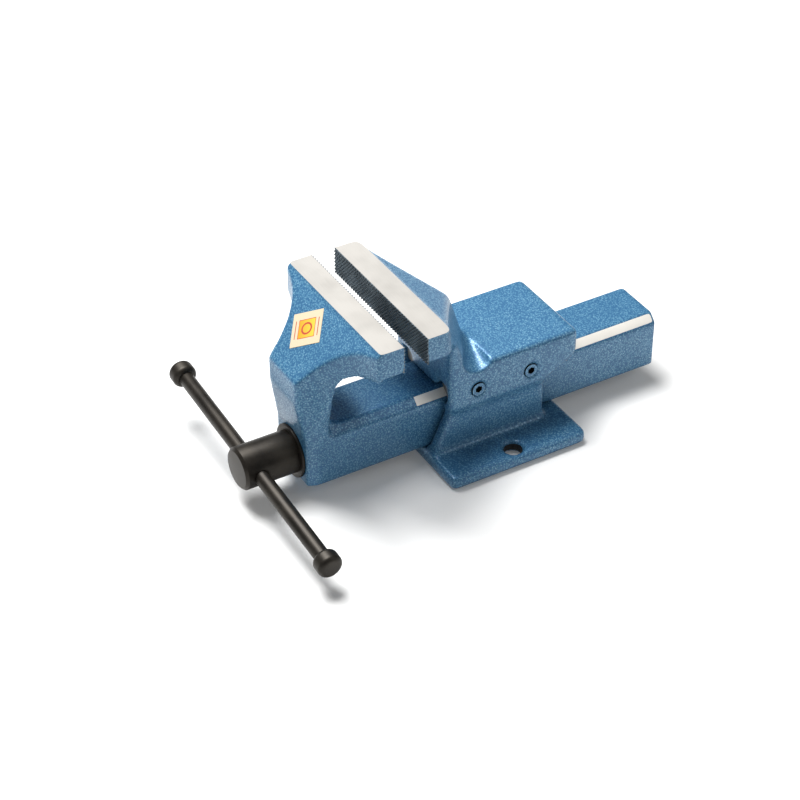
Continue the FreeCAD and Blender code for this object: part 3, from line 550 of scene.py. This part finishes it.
def printedLabel():
    # matt printed paper: cream margin, orange field with a plain ring, thin red lines along two margins
    look = {"cream": "#c6b69a", "orange": "#dd8f17", "yellow": "#e2b43a", "red": "#a4432b", "turn": -46.0,
            "slopeRise": 36.8, "slopeRun": 41.0, "field": 6.6, "frame": 7.1, "ringOut": 4.6, "ringIn": 3.2,
            "lineAt": 9.6, "lineHalf": 0.35, "lineLong": 6.8}
    finish, tree, output = newFinish("matt printed paper")
    low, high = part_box("jaw_label")
    slope = math.atan2(look["slopeRise"], look["slopeRun"])
    turn = Matrix.Rotation(math.radians(look["turn"]), 3, "Z")
    local = (Matrix.Rotation(slope, 3, "X") @ turn).transposed()
    place = addNode(tree, "ShaderNodeTexCoord").outputs["Object"]
    flat = addNode(tree, "ShaderNodeMapping", {"Location": -(local @ ((low + high) / 2)),
                   "Rotation": local.to_euler("XYZ")}, {"Vector": place})
    parts = addNode(tree, "ShaderNodeSeparateXYZ", {}, {"Vector": flat})
    across = addNode(tree, "ShaderNodeMath", {"operation": "ABSOLUTE"}, {0: parts.outputs["X"]})
    along = addNode(tree, "ShaderNodeMath", {"operation": "ABSOLUTE"}, {0: parts.outputs["Y"]})
    square = addNode(tree, "ShaderNodeMath", {"operation": "MAXIMUM"}, {0: across, 1: along})
    inField = addNode(tree, "ShaderNodeMath", {"operation": "LESS_THAN", 1: look["field"] * mm}, {0: square})
    inFrame = addNode(tree, "ShaderNodeMath", {"operation": "LESS_THAN", 1: look["frame"] * mm}, {0: square})
    acrossSquared = addNode(tree, "ShaderNodeMath", {"operation": "MULTIPLY"}, {0: across, 1: across})
    summed = addNode(tree, "ShaderNodeMath", {"operation": "MULTIPLY_ADD"},
                     {0: along, 1: along, 2: acrossSquared})
    radius = addNode(tree, "ShaderNodeMath", {"operation": "SQRT"}, {0: summed})
    inside = addNode(tree, "ShaderNodeMath", {"operation": "LESS_THAN", 1: look["ringOut"] * mm}, {0: radius})
    outside = addNode(tree, "ShaderNodeMath", {"operation": "GREATER_THAN", 1: look["ringIn"] * mm},
                      {0: radius})
    onRing = addNode(tree, "ShaderNodeMath", {"operation": "MULTIPLY"}, {0: inside, 1: outside})
    atLine = addNode(tree, "ShaderNodeMath", {"operation": "COMPARE", 1: look["lineAt"] * mm,
                     2: look["lineHalf"] * mm}, {0: along})
    beside = addNode(tree, "ShaderNodeMath", {"operation": "LESS_THAN", 1: look["lineLong"] * mm},
                     {0: across})
    onLine = addNode(tree, "ShaderNodeMath", {"operation": "MULTIPLY"}, {0: atLine, 1: beside})
    fade = addNode(tree, "ShaderNodeMapRange", {"From Min": -look["field"] * mm,
                   "From Max": look["field"] * mm}, {"Value": parts.outputs["Y"]})
    red = hexColour(look["red"])
    field = addNode(tree, "ShaderNodeMix", {"data_type": "RGBA", 6: hexColour(look["orange"]),
                    7: hexColour(look["yellow"])}, {0: fade})
    lined = addNode(tree, "ShaderNodeMix", {"data_type": "RGBA", 6: hexColour(look["cream"]), 7: red},
                    {0: onLine})
    framed = addNode(tree, "ShaderNodeMix", {"data_type": "RGBA", 7: red}, {0: inFrame, 6: lined.outputs[2]})
    filled = addNode(tree, "ShaderNodeMix", {"data_type": "RGBA"},
                     {0: inField, 6: framed.outputs[2], 7: field.outputs[2]})
    printed = addNode(tree, "ShaderNodeMix", {"data_type": "RGBA", 7: red}, {0: onRing, 6: filled.outputs[2]})
    fibres = addNode(tree, "ShaderNodeTexNoise", {"Scale": 1500.0, "Detail": 3.0}, {"Vector": place})
    bump = addNode(tree, "ShaderNodeBump", {"Strength": 0.1, "Distance": 0.00004}, {"Height": fibres})
    skin = addNode(tree, "ShaderNodeBsdfPrincipled", {"Roughness": 0.55, "IOR": 1.45},
                   {"Base Color": printed.outputs[2], "Normal": bump})
    tree.links.new(skin.outputs["BSDF"], output.inputs["Surface"])
    return finish


turned = {"spindle": (1.9, "spindle_group"), "thrust_washer": (0.5, "spindle_group"),
          "tommy_bar": (0.8, "bar_group"), "bar_knob_right": (0.8, "bar_group"),
          "bar_knob_left": (0.8, "bar_group")}  # width of each broken edge, and the body it rides on
for node, (width, body) in turned.items():
    # a lathe-turned part, with its edges broken round
    piece = copyNode(node, node + "_turned")
    applyModifier(piece, "broken edges", "BEVEL", width=width * mm, segments=4, limit_method="ANGLE",
                  angle_limit=math.radians(32), use_clamp_overlap=True)
    piece.data.materials.clear()
    piece.data.materials.append(blackSteel)
    smoothByAngle(piece, 28)
    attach(piece, body)
    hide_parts(node)
    print("turned", node, len(piece.data.polygons), "faces")

nodeFinish = {
    "retaining_collar": zincSteel, "collar_pin": zincSteel,
    "gib_right": greyIron, "gib_left": greyIron, "spindle_nut": greyIron,
    "nut_screw_front": zincSteel, "nut_screw_rear": zincSteel,
    "nut_dowel_right": zincSteel, "nut_dowel_left": zincSteel, "jaw_label": printedLabel(),
}
for node, finish in nodeFinish.items():
    cadNodes[node].data.materials.clear()
    cadNodes[node].data.materials.append(finish)
for node in [name for name in cadNodes if name.startswith("gib_screw")]:
    # the screw's end was painted over with the wall, its socket was not
    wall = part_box(node)[1].x if "right" in node else -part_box(node)[0].x
    paintFaces(cadNodes[node], [blackSteel, blueEnamel],
               lambda c, n, wall=wall: 1 if abs(n.x) > 0.9 and abs(abs(c.x) - wall) < 0.0001 else 0)
print("carried-over nodes finished")


room = {
    "floor": "#e8e8e7", "floorGlow": 0.1, "world": "#ffffff", "worldLight": 0.2,
    "lamps": {"key": ((-0.52, -0.22, 1.36), 0.8, 43.0), "back": ((0.88, 0.75, 1.0), 0.7, 2.4)},
    "aim": (0, -0.03, 0.06),
}  # a lamp has its place, its width in metres and its power in watts


def addRoom():
    deselectAll()
    bpy.ops.mesh.primitive_plane_add(size=12, location=(0, 0, -0.0005))
    floor = bpy.context.object
    floor.name = "floor"
    finish, tree, output = newFinish("matt white paper sweep")
    paper = hexColour(room["floor"])
    skin = addNode(tree, "ShaderNodeBsdfPrincipled", {"Base Color": paper, "Roughness": 0.9,
                   "Emission Color": paper, "Emission Strength": room["floorGlow"]})
    tree.links.new(skin.outputs["BSDF"], output.inputs["Surface"])
    floor.data.materials.append(finish)
    world = bpy.data.worlds.new("soft studio")
    world.use_nodes = True
    background = world.node_tree.nodes["Background"]
    background.inputs["Color"].default_value = hexColour(room["world"])
    background.inputs["Strength"].default_value = room["worldLight"]
    bpy.context.scene.world = world
    for name, (place, size, power) in room["lamps"].items():
        lamp = bpy.data.objects.new(name, bpy.data.lights.new(name, "AREA"))
        lamp.data.size = size
        lamp.data.energy = power
        lamp.location = place
        lamp.rotation_euler = (Vector(room["aim"]) - lamp.location).to_track_quat("-Z", "Y").to_euler()
        bpy.context.scene.collection.objects.link(lamp)


camera = {"azimuth": 59.64, "elevation": 37.34, "distance": 1.4693, "lens": 99.4,
          "target": (0.04595, -0.0868, 0.080)}


def addCamera():
    turn, lift = math.radians(camera["azimuth"]), math.radians(camera["elevation"])
    back = Vector((math.sin(turn) * math.cos(lift), -math.cos(turn) * math.cos(lift), math.sin(lift)))
    eye = bpy.data.objects.new("camera", bpy.data.cameras.new("camera"))
    eye.data.lens = camera["lens"]
    eye.data.sensor_width = 36.0
    eye.location = Vector(camera["target"]) + back * camera["distance"]
    eye.rotation_euler = back.to_track_quat("Z", "Y").to_euler()
    bpy.context.scene.collection.objects.link(eye)
    bpy.context.scene.camera = eye


addRoom()
addCamera()
bpy.context.scene.view_settings.view_transform = "Standard"
print("room and camera ready")
